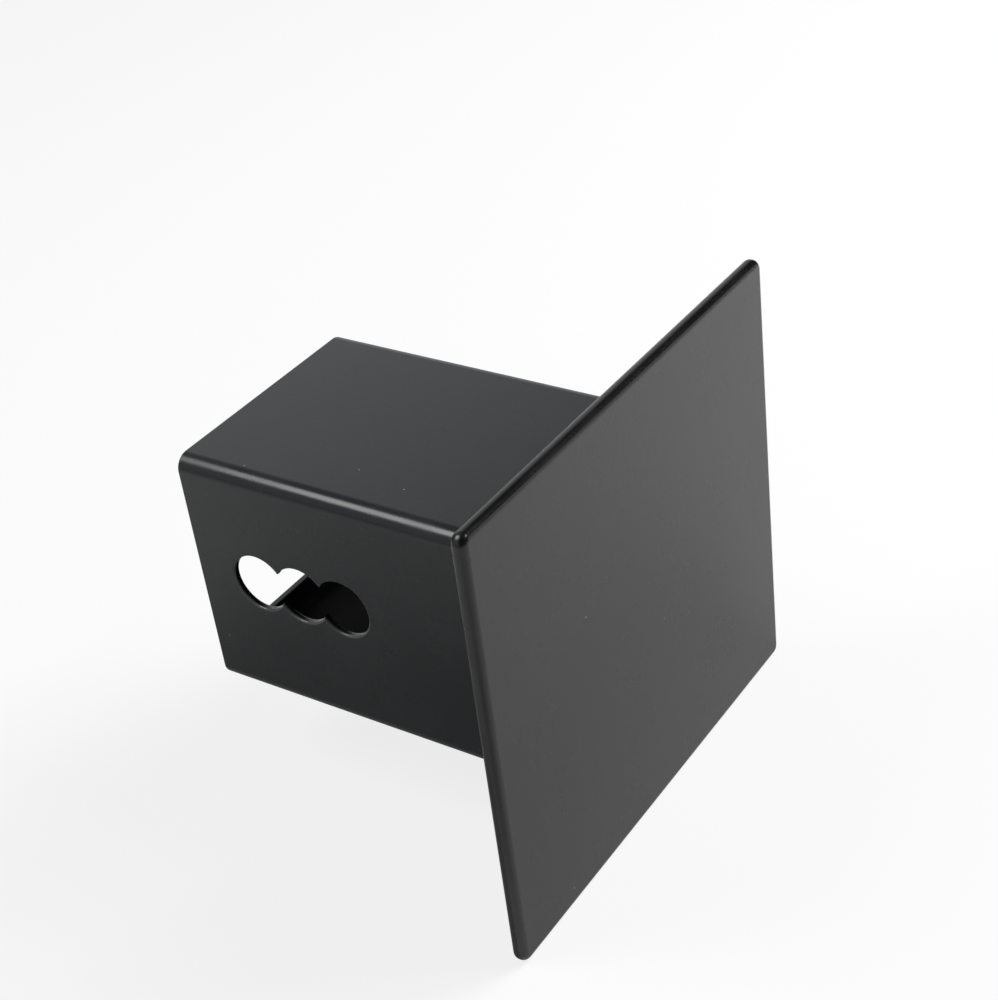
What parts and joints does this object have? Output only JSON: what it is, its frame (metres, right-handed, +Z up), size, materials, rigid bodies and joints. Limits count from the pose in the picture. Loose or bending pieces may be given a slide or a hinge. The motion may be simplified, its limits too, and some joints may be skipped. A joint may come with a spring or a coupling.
{
  "type": "hitch receiver cover",
  "caption": "Flat steel cover plate on a hollow square stem that slides into a tow hitch receiver; overlapping cross-pin holes let the pin hold it at several depths.",
  "frame": {"origin": "middle of the plate's back face, from which the stem stands; the stem's own centre line is 0.5 mm below it", "axes": "+Y along the stem, away from the plate and into the receiver; the plate's front faces -Y; +X across the plate, through the pin holes; +Z up, with the stem's lip at the bottom"},
  "size_m": [0.0956, 0.081, 0.0882],
  "materials": {
    "face_plate": "satin black powder coat",
    "stem": "satin black powder coat",
    "weld": "satin black powder coat over a rippled weld"
  },
  "bodies": {
    "root": {"face_plate": "face_plate", "stem": "stem", "weld_left": "weld", "weld_right": "weld"}
  },
  "joints": []
}
